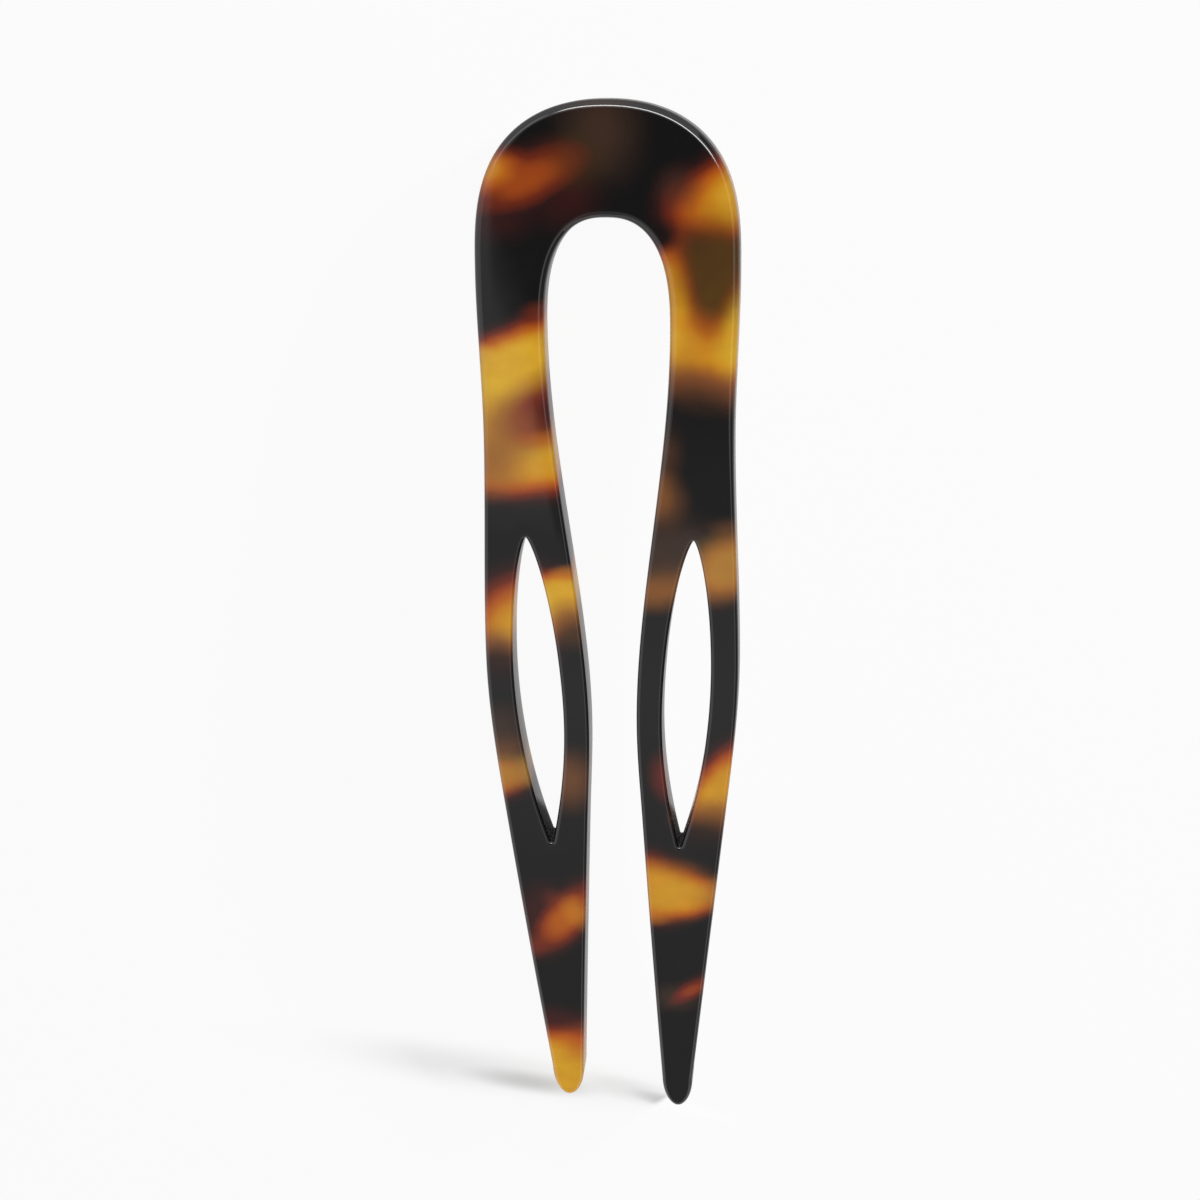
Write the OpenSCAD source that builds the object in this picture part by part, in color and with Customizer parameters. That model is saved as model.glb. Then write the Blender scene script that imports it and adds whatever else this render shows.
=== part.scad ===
// French hair pin cut from one sheet: a U of two prongs, each opened by a long pointed eye.
// It lies face up. X runs across, Y along it from the tips (-Y) to the crown (+Y), Z is up.
// The origin is on the surface that it rests on, under the middle of its length.

/* [Sheet] */
// Length from the top of the crown to the longer tip
length = 130; // [120:1:150]
// Thickness of the sheet
thickness = 4; // [3:0.1:5]
// How far the middle of the face stands above its ends
bow = 4.3; // [3:0.1:8]

/* [Crown] */
// Width of the crown
crown_w = 29.8; // [28:0.1:33]
// From the top of the crown down to where it is widest
crown_l = 19; // [16:0.5:21]
// Material between the top of the crown and the arch
crown_band = 12.8; // [10:0.1:14]
// Width of the arch between the prongs
arch_w = 14.2; // [12:0.1:15.5]
// From the top of the arch down to where it is widest
arch_l = 12.2; // [9:0.1:14]

/* [Prongs] */
// Width across both prongs at the waist, below the crown
waist_w = 28.8; // [27:0.1:31]
// From the top of the crown down to the waist
waist_at = 37.5; // [30:0.5:45]
// Width across both prongs at the middle of the eyes
hip_w = 30.1; // [29:0.1:33]
// From the top of the crown down to the widest place at the eyes
hip_at = 65; // [60:0.5:70]
// Gap between the prongs where it is narrowest
neck_gap = 5.7; // [4.5:0.1:7]
// From the top of the crown down to the narrowest gap
neck_at = 74; // [70:0.5:78]
// Width across both prongs where the straight taper starts
heel_w = 26.7; // [25:0.1:28]
// Gap between the prongs where the straight taper starts
heel_gap = 6.7; // [5.8:0.1:8]
// From the top of the crown down to the start of the straight taper
heel_at = 86.5; // [84:0.5:92]

/* [Tips] */
// Width across both prongs where their ends start to round off
foot_w = 18.1; // [17:0.1:20]
// Gap between the prongs where their ends start to round off
foot_gap = 10.3; // [9:0.1:12]
// Length of the rounded end of a prong
tip_l = 4.5; // [3:0.1:6]
// How much shorter the left prong is finished
left_trim = 1; // [0:0.1:3]

/* [Eyes] */
// Width of an eye
eye_w = 5.6; // [4.5:0.1:6.5]
// From the top of the crown down to the top of an eye
eye_top = 49.8; // [45:0.1:55]
// Length of an eye
eye_l = 40; // [35:0.5:44]
// From the top of an eye down to its widest place
eye_wide = 19.9; // [17:0.1:22]
// How far the lower point of an eye leans towards the gap
eye_lean = 0.35; // [0:0.05:0.8]
// Roundness of the upper end of an eye, 1 is a sharp point
eye_blunt = 0.74; // [0.6:0.02:1]
// Radius at the lower point of an eye
eye_point_r = 0.2; // [0.1:0.05:0.5]

/* [Hidden] */

// The crown is squarer than an ellipse at its shoulders and rounder on top.
crown_round = [2.2, 3];
arch_round = [2.5, 2.5];

// The face and the back are two arcs about one centre far below the pin.
half = length / 2;
face_r = (half * half + bow * bow) / (2 * bow);
back_r = face_r - thickness;
centre_z = -sqrt(back_r * back_r - half * half);

// Where the ends start to round off, and how fast each edge of a prong tapers above that
foot_at = length - tip_l;
outer_taper = (heel_w - foot_w) / 2 / (foot_at - heel_at);
inner_taper = (foot_gap - heel_gap) / 2 / (foot_at - heel_at);

// Columns: distance from the top of the crown, half width, slope of the edge there
outer_edge = [
  [crown_l, crown_w / 2, 0],
  [waist_at, waist_w / 2, 0],
  [hip_at, hip_w / 2, 0],
  [heel_at, heel_w / 2, -outer_taper],
  [foot_at, foot_w / 2, -outer_taper],
];
inner_edge = [
  [crown_band + arch_l, arch_w / 2, 0],
  [neck_at, neck_gap / 2, 0],
  [heel_at, heel_gap / 2, inner_taper],
  [foot_at, foot_gap / 2, inner_taper],
];

// Smooth curve from row a to row b of an edge, at distance s
function curve(a, b, s) =
  let (span = b[0] - a[0], t = (s - a[0]) / span)
  a[1] * (2 * t * t * t - 3 * t * t + 1) + b[1] * (3 * t * t - 2 * t * t * t)
  + span * (a[2] * (t * t * t - 2 * t * t + t) + b[2] * (t * t * t - t * t));

// Half width of an edge at distance s from the top of the crown
function edge_at(rows, s, i = 0) =
  i < len(rows) - 2 && s > rows[i + 1][0] ? edge_at(rows, s, i + 1)
  : curve(rows[i], rows[i + 1], s);

// A point of the outline, x across and s down from the top of the crown
function place(x, s) = [x, half - s];

// A quarter of a rounded arch of half width w and height h, from its top down to its side
function arch(w, h, top, round) = [
  for (a = [0 : 5 : 85])
    place(w * pow(sin(a), 2 / round[0]), top + h * (1 - pow(cos(a), 2 / round[1])))
];

// One edge of a prong, from its widest place down to where its end rounds off
function side(rows, end, step = 2.5) =
  let (start = rows[0][0], count = ceil((end - start) / step))
  [for (i = [0 : count]) let (s = start + (end - start) * i / count) place(edge_at(rows, s), s)];

// The rounded end of a prong that starts at distance s, from its outer edge to its inner edge
function tip(s) =
  let (
    wide = (edge_at(outer_edge, s) - edge_at(inner_edge, s)) / 2,
    middle = (edge_at(outer_edge, s) + edge_at(inner_edge, s)) / 2
  )
  [for (a = [10 : 10 : 170]) place(middle + wide * cos(a), s + tip_l * sin(a))];

function reversed(points) = [for (i = [len(points) - 1 : -1 : 0]) points[i]];

// Half of the outline, from the top of the crown round one prong to the top of the arch
function half_outline(trim) =
  let (end = foot_at - trim)
  concat(
    arch(crown_w / 2, crown_l, 0, crown_round),
    side(outer_edge, end),
    tip(end),
    reversed(side(inner_edge, end)),
    reversed(arch(arch_w / 2, arch_l, crown_band, arch_round))
  );

// The same half turned over to the left, without its two points on the middle line
function left_half(points) = [for (i = [len(points) - 2 : -1 : 1]) [-points[i][0], points[i][1]]];

// Below its widest place the eye narrows to a V, which a small round ends at eye_l.
eye_slope = atan(eye_w / (eye_l - eye_wide));
round_at = eye_l - eye_point_r;
round_from = round_at + eye_point_r * sin(eye_slope);
v_end = round_at + eye_point_r / sin(eye_slope);

// Half width of the eye at distance t below its top
function eye_half(t) =
  t > round_from ? sqrt(max(0, pow(eye_point_r, 2) - pow(t - round_at, 2)))
  : let (u = t < eye_wide ? 1 - t / eye_wide : (t - eye_wide) / (v_end - eye_wide))
  eye_w / 2 * pow(max(0, 1 - u * u), t < eye_wide ? eye_blunt : 1);

// The line that the eye follows down the middle of its prong
function eye_middle(t) =
  (edge_at(outer_edge, eye_top + t) + edge_at(inner_edge, eye_top + t)) / 2
  - eye_lean * pow(t / eye_l, 2);

module eye_outline(steps = 30) {
  // Steps are closer together towards both ends
  along = [for (i = [0 : steps]) eye_l * (1 - cos(180 * i / steps)) / 2];
  polygon(concat(
    [for (t = along) place(eye_middle(t) + eye_half(t), eye_top + t)],
    [for (i = [steps - 1 : -1 : 1])
      place(eye_middle(along[i]) - eye_half(along[i]), eye_top + along[i])]
  ));
}

module outline() {
  difference() {
    polygon(concat(half_outline(0), left_half(half_outline(left_trim))));
    eye_outline();
    mirror([1, 0]) eye_outline();
  }
}

// A long round bar across the pin, centred on the arcs of its face and back
module cross_bar(r) {
  translate([0, 0, centre_z]) rotate([0, 90, 0]) cylinder(r = r, h = 2 * hip_w, center = true, $fn = 360);
}

// The bowed sheet: the outline cut straight down through the band between the two arcs
module hair_pin() {
  color([0.16, 0.1, 0.07]) intersection() {
    linear_extrude(height = 4 * (bow + thickness)) outline();
    difference() {
      cross_bar(face_r);
      cross_bar(back_r);
    }
  }
}

hair_pin();
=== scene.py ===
# French hair pin of polished tortoiseshell acetate, lying face up on a pale table
import math

import bmesh
import bpy
from mathutils import Matrix, Vector
from mathutils.kdtree import KDTree


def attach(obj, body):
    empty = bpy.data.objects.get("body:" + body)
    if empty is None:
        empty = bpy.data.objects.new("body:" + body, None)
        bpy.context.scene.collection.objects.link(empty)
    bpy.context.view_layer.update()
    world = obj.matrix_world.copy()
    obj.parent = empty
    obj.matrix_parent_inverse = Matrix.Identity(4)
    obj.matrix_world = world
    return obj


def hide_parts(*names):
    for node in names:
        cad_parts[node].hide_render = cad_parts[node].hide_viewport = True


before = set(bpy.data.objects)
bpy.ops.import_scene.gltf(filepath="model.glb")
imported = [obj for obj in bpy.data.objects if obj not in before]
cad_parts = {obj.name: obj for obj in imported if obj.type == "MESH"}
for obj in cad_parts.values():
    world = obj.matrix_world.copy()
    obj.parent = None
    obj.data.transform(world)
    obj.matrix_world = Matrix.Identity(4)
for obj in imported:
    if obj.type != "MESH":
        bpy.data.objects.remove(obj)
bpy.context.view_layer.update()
mm = 0.001


# Shader maths

class Wire:
    # One output of a shader node, so that sums of sockets can be written as sums
    def __init__(self, tree, socket):
        self.tree = tree
        self.socket = socket

    def maths(self, operation, *values):
        return addNode(self.tree, "ShaderNodeMath", {"operation": operation}, dict(enumerate(values)))

    def __add__(self, other):
        return self.maths("ADD", self, other)

    def __sub__(self, other):
        return self.maths("SUBTRACT", self, other)

    def __rsub__(self, other):
        return self.maths("SUBTRACT", other, self)

    def __mul__(self, other):
        return self.maths("MULTIPLY", self, other)

    def __abs__(self):
        return self.maths("ABSOLUTE", self)

    __radd__ = __add__
    __rmul__ = __mul__


def addNode(tree, kind, settings, sockets, output=0):
    # Settings are set first, because some of them change which sockets a node has
    node = tree.nodes.new(kind)
    for name, value in settings.items():
        if name == "stops":
            fillRamp(node.color_ramp, value)
        else:
            setattr(node, name, value)
    for name, value in sockets.items():
        if isinstance(value, Wire):
            tree.links.new(value.socket, node.inputs[name])
        else:
            node.inputs[name].default_value = value
    return Wire(tree, node.outputs[output])


def fillRamp(ramp, stops):
    while len(ramp.elements) < len(stops):
        ramp.elements.new(1.0)
    for element, (place, colour) in zip(ramp.elements, stops):
        element.position = place
        element.color = colour


def shade(red, green, blue):
    # A colour as it looks on screen, from 0 to 255, as the linear colour that the shader needs
    def linear(value):
        value /= 255
        return value / 12.92 if value <= 0.04045 else ((value + 0.055) / 1.055) ** 2.4
    return (linear(red), linear(green), linear(blue), 1.0)


def grey(tone):
    return (tone, tone, tone, 1.0)


def mixColour(tree, factor, low, high, blend="MIX"):
    # The Mix node keeps its colours in sockets 6, 7 and, for the result, 2
    sockets = {0: factor, 6: low, 7: high}
    return addNode(tree, "ShaderNodeMix", {"data_type": "RGBA", "blend_type": blend}, sockets, 2)


def vectorMaths(tree, operation, first, second):
    return addNode(tree, "ShaderNodeVectorMath", {"operation": operation}, {0: first, 1: second})


def ease(tree, value, low, high):
    # 0 at low and 1 at high, with a smooth way between them
    limits = {"Value": value, "From Min": low, "From Max": high}
    return addNode(tree, "ShaderNodeMapRange", {"interpolation_type": "SMOOTHSTEP"}, limits)


def noise(tree, point, scale, detail, output="Fac"):
    sockets = {"Vector": point, "Scale": scale, "Detail": detail}
    return addNode(tree, "ShaderNodeTexNoise", {"noise_dimensions": "3D"}, sockets, output)


def objectPlace(tree):
    # The place on the object, in millimetres
    coords = addNode(tree, "ShaderNodeTexCoord", {}, {}, "Object")
    return vectorMaths(tree, "MULTIPLY", coords, (1 / mm,) * 3)


def splitPoint(tree, point):
    return [addNode(tree, "ShaderNodeSeparateXYZ", {}, {"Vector": point}, axis) for axis in "XYZ"]


def patchMask(tree, point, centre, size, turn, soft):
    # 1 inside the patch and 0 outside it, at any depth: its reach along Z is as good as endless
    place = {"Vector": point, "Location": (*centre, 0), "Rotation": (0, 0, math.radians(turn)),
             "Scale": (*size, 1000)}
    local = addNode(tree, "ShaderNodeMapping", {"vector_type": "TEXTURE"}, place)
    far = addNode(tree, "ShaderNodeVectorMath", {"operation": "LENGTH"}, {0: local}, "Value")
    return ease(tree, far, 1 + soft, 1 - soft)


def cover(tree, point, rows):
    # How much soft patches cover together, from 0 to 1
    total = 0.0
    for *patch, strength in rows:
        mask = patchMask(tree, point, *patch) * strength
        total = mask + (1 - mask) * total
    return total


def paint(tree, point, colour, rows):
    # Lays soft patches of named colours over a colour, one after another
    for *patch, strength, name in rows:
        mask = patchMask(tree, point, *patch) * strength
        colour = mixColour(tree, mask, colour, shade(*palette[name]))
    return colour


def newMaterial(name):
    material = bpy.data.materials.new(name)
    material.use_nodes = True
    return material, material.node_tree, material.node_tree.nodes["Principled BSDF"]


# Outline of the pin, in millimetres: x across, s down from the top of the crown

pin = {
    "length": 130.0,
    "thickness": 4.0,
    "bow": 4.3,            # how far the middle of the face stands above its ends
    "crownWidth": 29.8,
    "crownLength": 19.0,   # from the top of the crown down to where it is widest
    "crownRound": (2.2, 3.0),
    "crownBand": 12.8,     # material between the top of the crown and the arch
    "archWidth": 14.2,
    "archLength": 12.2,
    "archRound": (2.5, 2.5),
    "waist": (37.5, 28.8),  # place along the pin, width there
    "hip": (65.0, 30.08),
    "neck": (74.0, 5.7),    # narrowest gap between the prongs
    "heel": (86.5, 26.7, 6.7),  # place, width and gap where the straight taper starts
    "foot": (18.1, 10.3),   # width and gap where the ends start to round off
    "tipLength": 4.5,
    "leftTrim": 1.0,        # how much shorter the left prong is
    "eyeWidth": 5.6,
    "eyeTop": 49.8,
    "eyeLength": 40.0,
    "eyeWide": 19.9,        # from the top of an eye down to its widest place
    "eyeLean": 0.35,
    "eyeBlunt": 0.74,
    "eyePoint": 0.2,        # radius at the lower point of an eye
}

# How finely the outline is drawn: steps in a quarter of an arch, round a tip and down an eye
steps = {
    "crown": 44,
    "arch": 30,
    "tip": 26,
    "eye": 64,
    "side": 0.8,            # length of a step along a prong, at most
}

half = pin["length"] / 2

# The face and the back are two arcs about one centre far below the pin
faceRadius = (half**2 + pin["bow"] ** 2) / (2 * pin["bow"])
bowCentre = -math.sqrt((faceRadius - pin["thickness"]) ** 2 - half**2)

footAt = pin["length"] - pin["tipLength"]
heelAt, heelWidth, heelGap = pin["heel"]
outerTaper = (heelWidth - pin["foot"][0]) / 2 / (footAt - heelAt)
innerTaper = (pin["foot"][1] - heelGap) / 2 / (footAt - heelAt)

# Distance from the top of the crown, half width, slope of the edge there
outerEdge = [
    (pin["crownLength"], pin["crownWidth"] / 2, 0),
    (pin["waist"][0], pin["waist"][1] / 2, 0),
    (pin["hip"][0], pin["hip"][1] / 2, 0),
    (heelAt, heelWidth / 2, -outerTaper),
    (footAt, pin["foot"][0] / 2, -outerTaper),
]
innerEdge = [
    (pin["crownBand"] + pin["archLength"], pin["archWidth"] / 2, 0),
    (pin["neck"][0], pin["neck"][1] / 2, 0),
    (heelAt, heelGap / 2, innerTaper),
    (footAt, pin["foot"][1] / 2, innerTaper),
]


def edgeAt(rows, s):
    # Half width of an edge at s, on the smooth curve between its two rows
    index = 0
    while index < len(rows) - 2 and s > rows[index + 1][0]:
        index += 1
    low, high = rows[index], rows[index + 1]
    span = high[0] - low[0]
    t = (s - low[0]) / span
    level = low[1] * (2 * t**3 - 3 * t**2 + 1) + high[1] * (3 * t**2 - 2 * t**3)
    return level + span * (low[2] * (t**3 - 2 * t**2 + t) + high[2] * (t**3 - t**2))


def archPoints(width, height, top, roundness, count):
    # A quarter of a rounded arch, from its top down to its side
    points = []
    for index in range(count):
        angle = math.pi / 2 * index / count
        across = width / 2 * math.sin(angle) ** (2 / roundness[0])
        down = height * (1 - math.cos(angle) ** (2 / roundness[1]))
        points.append((across, top + down))
    return points


def sidePoints(rows, end):
    # One edge of a prong, from its widest place down to where its end rounds off
    start = rows[0][0]
    count = math.ceil((end - start) / steps["side"])
    places = [start + (end - start) * index / count for index in range(count + 1)]
    return [(edgeAt(rows, s), s) for s in places]


def tipPoints(s):
    # The rounded end of a prong, from its outer edge to its inner edge
    outer = edgeAt(outerEdge, s)
    inner = edgeAt(innerEdge, s)
    points = []
    for index in range(1, steps["tip"]):
        angle = math.pi * index / steps["tip"]
        across = (outer + inner) / 2 + (outer - inner) / 2 * math.cos(angle)
        points.append((across, s + pin["tipLength"] * math.sin(angle)))
    return points


def halfOutline(trim):
    # From the top of the crown round one prong to the top of the arch
    end = footAt - trim
    crown = archPoints(pin["crownWidth"], pin["crownLength"], 0, pin["crownRound"], steps["crown"])
    arch = archPoints(pin["archWidth"], pin["archLength"], pin["crownBand"], pin["archRound"], steps["arch"])
    inner = sidePoints(innerEdge, end)
    return crown + sidePoints(outerEdge, end) + tipPoints(end) + inner[::-1] + arch[::-1]


def eyeOutline(side):
    # Below its widest place the eye narrows to a V, which a small round ends
    lower = pin["eyeLength"] - pin["eyeWide"]
    slope = math.atan(pin["eyeWidth"] / lower)
    roundAt = pin["eyeLength"] - pin["eyePoint"]
    roundFrom = roundAt + pin["eyePoint"] * math.sin(slope)
    vEnd = roundAt + pin["eyePoint"] / math.sin(slope) - pin["eyeWide"]
    left, right = [], []
    for index in range(steps["eye"] + 1):
        t = pin["eyeLength"] * (1 - math.cos(math.pi * index / steps["eye"])) / 2
        if t > roundFrom:
            wide = math.sqrt(max(0, pin["eyePoint"] ** 2 - (t - roundAt) ** 2))
        elif t < pin["eyeWide"]:
            wide = pin["eyeWidth"] / 2 * max(0, 1 - (1 - t / pin["eyeWide"]) ** 2) ** pin["eyeBlunt"]
        else:
            wide = pin["eyeWidth"] / 2 * (1 - ((t - pin["eyeWide"]) / vEnd) ** 2)
        s = pin["eyeTop"] + t
        middle = (edgeAt(outerEdge, s) + edgeAt(innerEdge, s)) / 2
        middle -= pin["eyeLean"] * (t / pin["eyeLength"]) ** 2
        left.append((side * (middle - wide), s))
        right.append((side * (middle + wide), s))
    return right + left[-2:0:-1]


# Mesh of the pin

finish = {
    "edgeRound": 0.5,      # radius of the tumbled edges along the prongs
    "crownRound": 0.84,    # and round the crown and the arch
    "crownRoundEnds": (26.0, 48.0),   # the radius falls between these distances from the crown
    # Insets from the edge that carry its round, and one more that keeps the face smooth next to it
    "rings": (0.012, 0.04, 0.09, 0.16, 0.25, 0.36, 0.5, 0.66, 0.84, 1.02),
    "pillow": 0.035,       # how far the polished faces fall off towards their edges
    "pillowReach": 1.8,
    "cut": 0.5,            # spacing of the cuts that let the sheet bend
    "weld": 0.0001,        # a cut this near to a point goes through it
    "nearest": 6,          # stretches of the outline that are tried as the nearest one
}


def addLoop(bm, points):
    verts = [bm.verts.new((x, half - s, 0)) for x, s in points]
    return [bm.edges.new(pair) for pair in zip(verts, verts[1:] + verts[:1])]


def smoothStep(value, low, high):
    t = min(1, max(0, (value - low) / (high - low)))
    return t * t * (3 - 2 * t)


class Rim:
    # Distance from a point of the sheet to the nearest edge of its outline
    def __init__(self, loops):
        self.stretches = []
        for points in loops:
            flat = [Vector((x, half - s, 0)) for x, s in points]
            self.stretches += list(zip(flat, flat[1:] + flat[:1]))
        self.tree = KDTree(len(self.stretches))
        for index, (start, end) in enumerate(self.stretches):
            self.tree.insert((start + end) / 2, index)
        self.tree.balance()

    def toStretch(self, point, index):
        start, end = self.stretches[index]
        run = end - start
        share = min(1, max(0, (point - start).dot(run) / run.length_squared))
        return (point - start - run * share).length

    def distance(self, point):
        near = self.tree.find_n(point, finish["nearest"])
        return min(self.toStretch(point, index) for _, index, _ in near)


def faceDrop(distance, y):
    # How far the face lies under its flat level at that distance from the edge
    fall = smoothStep(half - y, *finish["crownRoundEnds"])
    radius = finish["crownRound"] + (finish["edgeRound"] - finish["crownRound"]) * fall
    drop = finish["pillow"] * max(0, 1 - distance / finish["pillowReach"]) ** 2
    if distance < radius:
        drop += radius - math.sqrt(radius**2 - (radius - distance) ** 2)
    return drop


def bend(x, y, depth):
    # A point that lies depth under the face, on the arc that the sheet is bowed to
    angle = math.asin(y / faceRadius)
    reach = faceRadius - depth
    return Vector((x, reach * math.sin(angle), bowCentre + reach * math.cos(angle)))


def cutLevels(reach):
    count = int(reach / finish["cut"])
    return [index * finish["cut"] for index in range(-count, count + 1)]


def cutFaces(bm, faces, axis, levels):
    # Cuts the faces at each level along an axis, the middle one first, and returns what they became
    if not levels or not faces:
        return faces
    middle = len(levels) // 2
    level = levels[middle]
    normal = Vector((0, 0, 0))
    normal[axis] = 1
    below, across, above = [], [], []
    for face in faces:
        places = [vert.co[axis] for vert in face.verts]
        if max(places) <= level + finish["weld"]:
            below.append(face)
        elif min(places) >= level - finish["weld"]:
            above.append(face)
        else:
            across.append(face)
    edges = {edge for face in across for edge in face.edges}
    verts = {vert for face in across for vert in face.verts}
    made = bmesh.ops.bisect_plane(bm, geom=across + list(edges) + list(verts), dist=finish["weld"],
                                  plane_co=normal * level, plane_no=normal)
    for face in made["geom"]:
        if isinstance(face, bmesh.types.BMFace):
            (below if face.calc_center_median()[axis] < level else above).append(face)
    return cutFaces(bm, below, axis, levels[:middle]) + cutFaces(bm, above, axis, levels[middle + 1:])


def cutSheet(loops):
    # The flat face of the pin, fine enough to be rounded at its edges and bent
    bm = bmesh.new()
    rims = []
    for points in loops:
        rims += addLoop(bm, points)
    bmesh.ops.triangle_fill(bm, use_beauty=True, use_dissolve=False, edges=rims)
    inner = set(bm.faces)
    last = 0
    for place in finish["rings"]:
        made = bmesh.ops.inset_region(bm, faces=list(inner), thickness=place - last,
                                      use_even_offset=True, use_boundary=True)
        inner -= set(made["faces"])
        last = place
    inner = cutFaces(bm, list(inner), 1, cutLevels(half))
    inner = cutFaces(bm, inner, 0, cutLevels(pin["hip"][1] / 2))
    bmesh.ops.triangulate(bm, faces=inner)
    print("pin sheet:", len(bm.verts), "points")
    return bm


def buildPin():
    right, left = halfOutline(0), halfOutline(pin["leftTrim"])
    outline = right + [(-x, s) for x, s in left[-2:0:-1]]
    loops = [outline, eyeOutline(1), eyeOutline(-1)]
    bm = cutSheet(loops)

    # The face, its walls and its back, rounded at the edges and bent
    rim = Rim(loops)
    made = bmesh.ops.extrude_face_region(bm, geom=bm.faces[:] + bm.edges[:] + bm.verts[:])
    back = {item for item in made["geom"] if isinstance(item, bmesh.types.BMVert)}
    for vert in bm.verts:
        x, y, _ = vert.co
        drop = faceDrop(rim.distance(vert.co), y)
        vert.co = bend(x, y, pin["thickness"] - drop if vert in back else drop)
    lowest = min(vert.co.z for vert in bm.verts)
    bmesh.ops.translate(bm, verts=bm.verts[:], vec=(0, 0, -lowest))
    bmesh.ops.scale(bm, verts=bm.verts[:], vec=(mm, mm, mm))
    bmesh.ops.recalc_face_normals(bm, faces=bm.faces[:])

    mesh = bpy.data.meshes.new("polished_pin")
    bm.to_mesh(mesh)
    bm.free()
    mesh.shade_smooth()
    piece = bpy.data.objects.new("polished_pin", mesh)
    bpy.context.scene.collection.objects.link(piece)
    print("pin mesh:", len(mesh.polygons), "faces, lowered by", round(lowest, 3), "mm")
    return piece


# Tortoiseshell: near black acetate with amber patches that slant through the sheet

palette = {
    "black": (12, 10, 10), "umber": (62, 42, 31), "oxblood": (63, 17, 15), "russet": (104, 32, 18),
    "olive": (80, 54, 16), "brown": (114, 70, 38), "rust": (125, 47, 25), "tan": (146, 89, 34),
    "orange": (178, 83, 17), "straw": (164, 121, 46), "honey": (188, 122, 26), "yellow": (205, 160, 46),
}

# Amber patches: centre, half size, turn in degrees, softness of the edge, strength
amberPatches = [
    ((-8.5, 56.5), (6.5, 2.5), 25, 0.8, 0.5),
    ((-13, 57.5), (3, 1.8), 30, 0.75, 0.7),
    ((14.8, 54.5), (4.5, 4.3), 45, 0.65, 0.9),
    ((9.5, 53.3), (3, 3.2), 15, 0.85, 0.5),
    ((6.5, 42), (3.4, 7.2), -5, 0.5, 0.8),
    ((11.2, 37.5), (7.2, 4.3), -15, 0.8, 0.8),
    ((14.7, 40.3), (2.1, 5.8), -5, 0.65, 0.9),
    ((-7.7, 32.8), (15.5, 7.4), 19, 0.3, 0.95),
    ((-9.3, 25.7), (9.6, 4.9), 5, 0.5, 0.85),
    ((-11.4, 4.5), (5.8, 4.4), 45, 0.85, 0.85),
    ((-5, 7.6), (4.8, 3.4), 0, 0.45, 0.9),
    ((14, 12.3), (4.6, 3), 35, 0.8, 0.65),
    ((-14.5, -16.2), (4.2, 2.5), 20, 0.75, 0.65),
    ((13.4, -17), (6.8, 3.7), 60, 0.6, 0.85),
    ((4.3, -30.8), (5.8, 4.5), 5, 0.6, 0.85),
    ((8.6, -31.8), (4.4, 2.5), 0, 0.7, 0.75),
    ((-6.7, -35.8), (5.2, 2.5), 55, 0.75, 0.6),
    ((9, -46), (3.2, 1.2), 40, 0.9, 0.45),
    ((-8.6, -62.3), (10, 8.7), -10, 0.4, 0.9),
]

# Tints of the dark acetate, and the veils that lie over the amber: the same columns, then a colour
tints = [
    ((-0.5, 62), (3.2, 4.2), 15, 0.95, 0.85, "umber"),
    ((-4.5, 54.5), (3, 2.7), 10, 0.95, 0.55, "oxblood"),
    ((-12, 52.5), (3, 2.2), 5, 0.95, 0.55, "oxblood"),
    ((7, 52.8), (1.3, 2.7), -5, 0.95, 0.7, "oxblood"),
    ((5.8, 20), (2.3, 2.6), -5, 0.95, 0.75, "brown"),
    ((6.2, 26), (1.7, 3), -5, 0.95, 0.35, "brown"),
    ((6.4, 9.6), (5, 2.1), 10, 0.85, 0.75, "tan"),
    ((6.7, 14), (4.8, 3.2), 10, 0.8, 0.75, "umber"),
    ((-14, -12.4), (2.7, 2), 0, 0.9, 0.85, "brown"),
    ((-13.8, -9.3), (2.5, 2.4), 0, 0.95, 0.7, "umber"),
    ((-5.5, -16), (2.3, 2.9), -5, 0.95, 0.75, "brown"),
    ((6.3, -15.3), (1.4, 2.4), 10, 0.95, 0.8, "russet"),
    ((7.2, -47.2), (2.3, 1.6), 10, 0.9, 0.8, "umber"),
    ((-10, -35.5), (2.7, 4), -20, 0.75, 0.65, "oxblood"),
    ((-8, -52.5), (6.2, 2.1), -10, 0.95, 0.95, "oxblood"),
]
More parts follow.
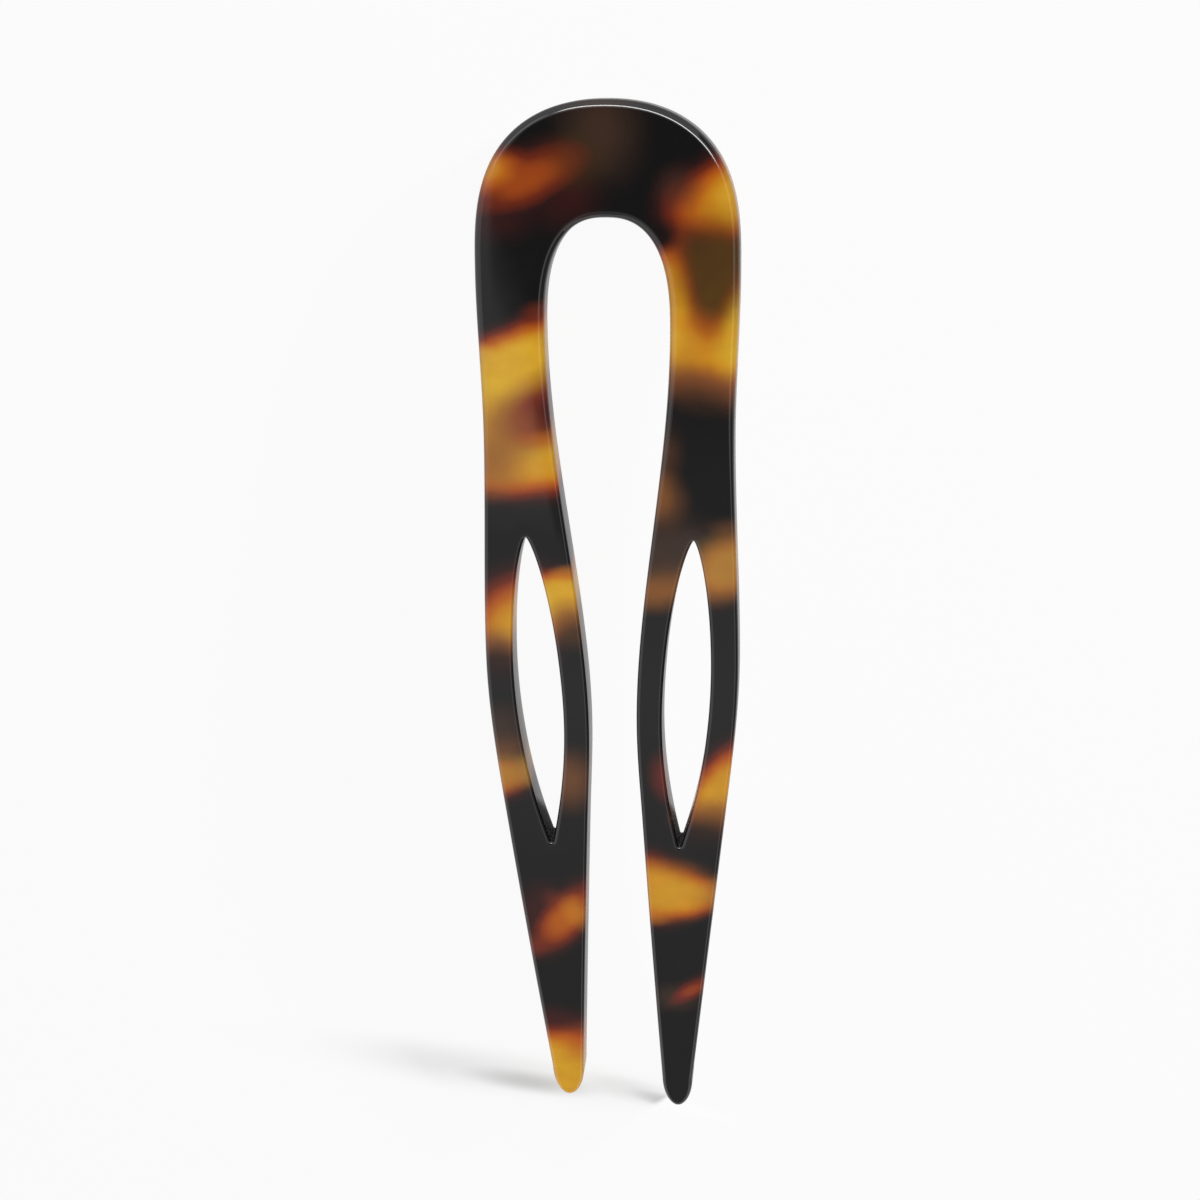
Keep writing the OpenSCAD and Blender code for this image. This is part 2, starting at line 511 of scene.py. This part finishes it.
veils = [
    ((12.4, 46.7), (4.1, 4.9), 5, 0.65, 0.9, "olive"),
    ((11.6, 42.3), (1.8, 2.4), -10, 0.8, 0.8, "olive"),
    ((6.1, 50.2), (1.7, 1.5), 0, 0.7, 0.95, "black"),
    ((-3.3, 58.5), (2.6, 2.3), 15, 0.95, 0.35, "olive"),
    ((10.7, 39.8), (2.5, 1.6), -10, 0.95, 0.45, "orange"),
    ((9, 36.9), (1.9, 1.7), 5, 0.95, 0.6, "honey"),
    ((10.4, 33.3), (9, 2.2), -10, 0.65, 0.85, "brown"),
    ((10.6, 29.7), (7, 3.4), -15, 0.6, 0.8, "black"),
    ((-8, 30.2), (5.9, 3.3), 37, 0.6, 1, "rust"),
    ((-6.5, 30.2), (2.1, 2.3), -5, 0.85, 0.9, "oxblood"),
    ((-13, 27.7), (3.5, 3.3), -5, 0.95, 0.65, "tan"),
    ((-13.7, 24), (3.3, 2.9), 10, 0.8, 0.85, "tan"),
    ((-13.7, 1.5), (3.2, 1.9), -5, 0.8, 0.85, "brown"),
    ((-13.2, -1.5), (4, 2.9), -5, 0.55, 0.9, "black"),
    ((-4.5, 4.6), (2.7, 2.4), -20, 0.65, 0.95, "tan"),
    ((-4, 2.3), (2.8, 3), -10, 0.65, 0.8, "black"),
    ((13.6, 12.3), (4, 2.9), 35, 0.75, 0.8, "straw"),
    ((-14.2, -15.7), (3.6, 2), 15, 0.7, 0.7, "straw"),
    ((12.4, -20.2), (3.9, 2.2), 10, 0.75, 0.85, "tan"),
    ((10, -24), (5.3, 3.6), 20, 0.6, 0.95, "black"),
    ((6.3, -31.2), (4.7, 3.4), 5, 0.65, 0.4, "honey"),
    ((12.5, -31.5), (2, 1.9), 0, 0.85, 0.5, "straw"),
    ((-5, -55.6), (2.5, 2.6), 0, 0.85, 0.55, "orange"),
    ((-7.6, 41.7), (1.6, 0.9), 10, 0.9, 0.5, "rust"),
    ((-8, -33), (1.1, 1.2), 0, 0.9, 0.3, "rust"),
    ((-5.2, 11), (1.6, 0.7), 5, 0.8, 0.45, "honey"),
    ((-10.7, -40.4), (1.8, 1.2), 30, 0.9, 0.5, "rust"),
    ((8, 55.5), (1.8, 1.8), 0, 0.9, 0.5, "umber"),
    ((-10.3, 60.2), (2, 1.2), 20, 0.9, 0.6, "black"),
    ((-14.3, 36.7), (1.3, 0.9), 10, 0.8, 0.6, "yellow"),
    ((-10.4, -15), (1.4, 1.6), 0, 0.9, 0.65, "straw"),
    ((-7.4, 27), (2.4, 0.9), 0, 0.9, 0.5, "orange"),
    ((5.8, 21), (1.3, 2), 0, 0.9, 0.4, "tan"),
    ((4.4, -35), (1.6, 1), 0, 0.9, 0.4, "honey"),
    ((-5, -35), (1.3, 2), 30, 0.9, 0.5, "honey"),
    ((13.7, 17), (1.7, 0.9), 0, 0.9, 0.35, "brown"),
]

acetate = {
    # Colour of the amber from where a patch is faint to where it is strong
    "ramp": (
        (0.0, (12, 10, 10)), (0.15, (45, 16, 14)), (0.35, (103, 34, 12)), (0.5, (150, 64, 11)),
        (0.65, (179, 94, 10)), (0.8, (196, 130, 18)), (1.0, (212, 167, 37)),
    ),
    "slant": (0.15, -0.3),     # how far a patch moves for each millimetre of depth
    "grain": 1.5,              # how much faster the noise changes through the sheet than across it
    "wander": (0.14, 0.3),     # noise that makes the patches' edges uneven: per mm, and reach in mm
    "ripple": (0.5, 0.16),
    "streak": (0.12, 0.3, 0.2),   # noise inside a patch, per mm along each axis
    "streakShare": 0.2,        # and how much the amber varies by it
    "cloud": (0.3, 0.3),       # faint clouds: noise per mm, and how much the colour's value varies
    "roughness": (0.35, 0.045, 0.05),   # smears on the polish: noise per mm, least roughness, and range
    "wallRough": 0.24,         # how much rougher the cut wall is than the polish
    "wallFrom": (0.2, 0.7),    # depths under the face and over the back where that sets in
    "rawPoint": ((8.2, -24.5), (3.2, 6.3), 0, 0.2),   # walls left as cut, at the lower point of each eye
    "rawShare": 2.2,           # how much rougher again they are there
    "wave": (0.12, 0.014),     # the polish isn't flat: noise per mm, and height in mm
    "refraction": 1.48,
}


def wanderPoint(tree, point, scale, reach):
    # Moves the point about by noise, up to reach millimetres each way across the sheet
    cloud = noise(tree, point, scale, 2.0, "Color")
    centred = vectorMaths(tree, "SUBTRACT", cloud, (0.5, 0.5, 0.5))
    flat = vectorMaths(tree, "MULTIPLY", centred, (2 * reach, 2 * reach, 0))
    return vectorMaths(tree, "ADD", point, flat)


def acetateColour(tree, point):
    # Dark acetate with its tints, the amber that outshines it, and the veils over both
    dark = paint(tree, point, shade(*palette["black"]), tints)
    streak = noise(tree, vectorMaths(tree, "MULTIPLY", point, acetate["streak"]), 1.0, 2.0)
    amber = cover(tree, point, amberPatches) * ((streak - 0.5) * acetate["streakShare"] + 1)
    stops = [(place, shade(*tone)) for place, tone in acetate["ramp"]]
    glow = addNode(tree, "ShaderNodeValToRGB", {"stops": stops}, {"Fac": amber}, "Color")
    colour = paint(tree, point, mixColour(tree, 1.0, dark, glow, "LIGHTEN"), veils)
    scale, share = acetate["cloud"]
    value = (noise(tree, point, scale, 3.0) - 0.5) * share + 1
    return addNode(tree, "ShaderNodeHueSaturation", {}, {"Value": value, "Color": colour})


def acetateRoughness(tree, place, depth):
    # The faces are polished, the walls less so, and the walls at the eyes' lower points least
    scale, least, share = acetate["roughness"]
    polish = noise(tree, place, scale, 3.0) * share + least
    wall = acetate["wallRough"]
    for level in (depth, pin["thickness"] - depth):
        wall = ease(tree, level, *acetate["wallFrom"]) * wall
    x, y, _ = splitPoint(tree, place)
    mirrored = addNode(tree, "ShaderNodeCombineXYZ", {}, {"X": abs(x), "Y": y + depth})
    return polish + wall * (patchMask(tree, mirrored, *acetate["rawPoint"]) * acetate["rawShare"] + 1)


def makeAcetate(faceTop):
    material, tree, shader = newMaterial("tortoiseshell_acetate")
    place = objectPlace(tree)
    x, y, z = splitPoint(tree, place)

    # Depth under the bowed face, which moves the patches so that the back differs from the face
    depth = faceTop / mm - y * y * (0.5 / faceRadius) - z
    across, along = acetate["slant"]
    slid = {"X": x + depth * across, "Y": y + depth * along, "Z": depth * acetate["grain"]}
    point = addNode(tree, "ShaderNodeCombineXYZ", {}, slid)
    point = wanderPoint(tree, point, *acetate["wander"])
    point = wanderPoint(tree, point, *acetate["ripple"])

    scale, height = acetate["wave"]
    wave = {"Distance": height * mm, "Height": noise(tree, place, scale, 1.0)}
    bump = addNode(tree, "ShaderNodeBump", {}, wave)
    for name, wire in (("Base Color", acetateColour(tree, point)),
                       ("Roughness", acetateRoughness(tree, place, depth)), ("Normal", bump)):
        tree.links.new(wire.socket, shader.inputs[name])
    shader.inputs["IOR"].default_value = acetate["refraction"]
    return material


polishedPin = buildPin()
highest = max(vert.co.z for vert in polishedPin.data.vertices)
polishedPin.data.materials.append(makeAcetate(highest))
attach(polishedPin, "root")
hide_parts("hair_pin")
print("pin finished")


# Table, light and camera

def addPlane(name, left, front, right, back, matrix):
    bm = bmesh.new()
    bmesh.ops.create_grid(bm, x_segments=1, y_segments=1, size=0.5)
    bmesh.ops.scale(bm, verts=bm.verts[:], vec=(right - left, back - front, 1))
    bmesh.ops.translate(bm, verts=bm.verts[:], vec=((left + right) / 2, (front + back) / 2, 0))
    bmesh.ops.transform(bm, verts=bm.verts[:], matrix=matrix)
    mesh = bpy.data.meshes.new(name)
    bm.to_mesh(mesh)
    bm.free()
    plane = bpy.data.objects.new(name, mesh)
    bpy.context.scene.collection.objects.link(plane)
    return plane


def newGlow(name):
    # A material without polish that glows, black until it is given colours
    material, tree, shader = newMaterial(name)
    shader.inputs["Base Color"].default_value = grey(0)
    shader.inputs["Specular IOR Level"].default_value = 0
    shader.inputs["Emission Strength"].default_value = 1
    return material, tree, shader


def showInPolishAlone(plane):
    plane.visible_camera = False
    plane.visible_diffuse = False
    plane.visible_shadow = False


table = {
    "side": 3.0,
    "tone": 0.963,       # how bright it looks where no shadow falls
    "matt": (0.02, 0.55),   # how much of its lamp it gives back: in general, and beside the tips
    "lit": 0.705,        # how bright a white sheet would look there under that lamp alone
    "roughness": 0.9,
    # Places beside the tips where the glow is dimmed so that the lamp's shadow shows, a painted shape for
    # that shadow, in mm: centre, half size, turn, softness, strength
    "tipShadowPools": (
        ((-13, -65), (6, 1.2), -6, 0.85, 0.95), ((-23, -63), (20, 2.3), -6, 0.95, 0.4),
        ((7.5, -67.7), (6, 1), -16, 0.5, 0.95), ((1, -65.6), (6, 1.5), -13, 0.6, 0.3),
    ),
}


def addTable():
    # The table glows, painted light in place of lamp light, so that shadows on it stay faint; beside the
    # tips the glow is dimmed, and the lamp's shadow shows there in the shape of the pools
    reach = table["side"] / 2
    plane = addPlane("table_top", -reach, -reach, reach, reach, Matrix.Identity(4))
    material, tree, shader = newGlow("lit_table")
    low, high = table["matt"]
    matt = cover(tree, objectPlace(tree), table["tipShadowPools"]) * (high - low) + low
    for name, value in (("Base Color", matt), ("Emission Color", table["tone"] - matt * table["lit"])):
        tone = addNode(tree, "ShaderNodeCombineColor", {}, {0: value, 1: value, 2: value})
        tree.links.new(tone.socket, shader.inputs[name])
    shader.inputs["Roughness"].default_value = table["roughness"]
    plane.data.materials.append(material)
    return plane


card = {
    "edges": (-0.15, -0.6, 0.12, 0.14),   # left, front, right, back
    "height": 0.35,
    # Its tone from front to back, in metres, as the photo's polish shows it
    "tones": (
        (-0.46, 0.38), (-0.40, 0.40), (-0.32, 0.46), (-0.25, 0.58), (-0.17, 0.7), (-0.14, 0.66),
        (-0.088, 0.54), (-0.082, 0.37), (-0.044, 0.3), (0.006, 0.16), (0.08, 0.13),
    ),
    "leftTone": 0.7,     # its lighter left edge
    "leftSlant": 0.2,
    "leftFrom": (-0.059, -0.067),        # where that sets in from right to left
    "leftFromFront": (-0.13, -0.07),     # and from front to back
}


def addCard():
    # A card over the pin, seen only in its polish, darker over the crown
    plane = addPlane("overhead_card", *card["edges"], Matrix.Translation((0, 0, card["height"])))
    material, tree, shader = newGlow("card_grey")
    coords = addNode(tree, "ShaderNodeTexCoord", {}, {}, "Object")
    across, along, _ = splitPoint(tree, coords)
    first, last = card["tones"][0][0], card["tones"][-1][0]
    stops = [((place - first) / (last - first), grey(tone)) for place, tone in card["tones"]]
    share = addNode(tree, "ShaderNodeMapRange", {}, {"Value": along, "From Min": first, "From Max": last})
    tone = addNode(tree, "ShaderNodeValToRGB", {"stops": stops}, {"Fac": share}, "Color")
    left = ease(tree, across + along * card["leftSlant"], *card["leftFrom"])
    left = left * ease(tree, along, *card["leftFromFront"])
    left = mixColour(tree, left, grey(0), grey(card["leftTone"]))
    tone = mixColour(tree, 1.0, tone, left, "LIGHTEN")
    tree.links.new(tone.socket, shader.inputs["Emission Color"])
    plane.data.materials.append(material)
    showInPolishAlone(plane)


flag = {
    "place": 0.6,        # how far it stands to the right
    "height": 0.62,
    "reach": 0.75,       # half its length
    "tone": 0.3,
}


def addFlag():
    # A dark flag on the right, which draws the thin dark line along the edges on that side
    upright = Matrix.Translation((flag["place"], 0, 0)) @ Matrix.Rotation(math.radians(90), 4, "Y")
    plane = addPlane("dark_flag", -flag["height"], -flag["reach"], 0, flag["reach"], upright)
    material, _, shader = newGlow("flag_grey")
    shader.inputs["Emission Color"].default_value = grey(flag["tone"])
    plane.data.materials.append(material)
    showInPolishAlone(plane)


# Each light: place, aim, width, height, watts, and what it lights: the table, the pin or its polish alone
lights = {
    "rakeRight": ((0.71, 0.5, 0.19), (0, -0.05, 0), 0.14, 0.09, 30.0, "table"),
    "topSoft": ((0.1, 0.0, 1.0), (0, 0, 0), 0.9, 0.9, 12.6, "pin"),
    "crownGlint": ((0.04, 0.229, 0.354), (0.0, 0.06, 0), 0.3, 0.06, 1.1, "polish"),
    "crownGlintLeft": ((-0.21, 0.229, 0.354), (0.0, 0.06, 0), 0.18, 0.06, 0.11, "polish"),
}


def addLight(name, place, aim, width, height, watts, effect):
    data = bpy.data.lights.new(name, "AREA")
    data.shape = "RECTANGLE"
    data.size = width
    data.size_y = height
    data.energy = watts
    light = bpy.data.objects.new(name, data)
    light.location = place
    light.rotation_euler = (Vector(aim) - Vector(place)).to_track_quat("-Z", "Y").to_euler()
    light.visible_camera = False
    light.visible_glossy = effect == "polish"
    light.visible_diffuse = effect != "polish"
    if effect != "polish":
        lit = bpy.data.collections.new(name + "_lights")
        lit.objects.link(tableTop if effect == "table" else polishedPin)
        light.light_linking.receiver_collection = lit
    bpy.context.scene.collection.objects.link(light)


surround = {
    "strength": 1.4,
    "colour": (250, 250, 255),
}


def addSurround():
    world = bpy.data.worlds.new("surround")
    world.use_nodes = True
    sky = world.node_tree.nodes["Background"]
    sky.inputs["Color"].default_value = shade(*surround["colour"])
    sky.inputs["Strength"].default_value = surround["strength"]
    # It shows in the polish, while the lights alone make the shadows, which fall to the left
    world.cycles_visibility.diffuse = False
    bpy.context.scene.world = world


shot = {
    "lens": 66.0,
    "sensor": 36.0,
    "place": (28.8, 103.8, 244.9),
    "lookAt": (-1.14, 7.87, 8.3),
    "roll": -1.23,
    "clipStart": 0.005,
}


def addCamera():
    data = bpy.data.cameras.new("camera")
    data.lens = shot["lens"]
    data.sensor_width = shot["sensor"]
    data.clip_start = shot["clipStart"]
    camera = bpy.data.objects.new("camera", data)
    place = Vector(shot["place"]) * mm
    ahead = (Vector(shot["lookAt"]) * mm - place).normalized()
    right = ahead.cross(Vector((0, 1, 0))).normalized()
    turn = Matrix((right, right.cross(ahead), -ahead)).transposed().to_4x4()
    roll = Matrix.Rotation(math.radians(shot["roll"]), 4, "Z")
    camera.matrix_world = Matrix.Translation(place) @ turn @ roll
    bpy.context.scene.collection.objects.link(camera)
    bpy.context.scene.camera = camera


tableTop = addTable()
addCard()
addFlag()
for name, settings in lights.items():
    addLight(name, *settings)
addSurround()
addCamera()
bpy.context.scene.view_settings.view_transform = "Standard"
print("studio finished")
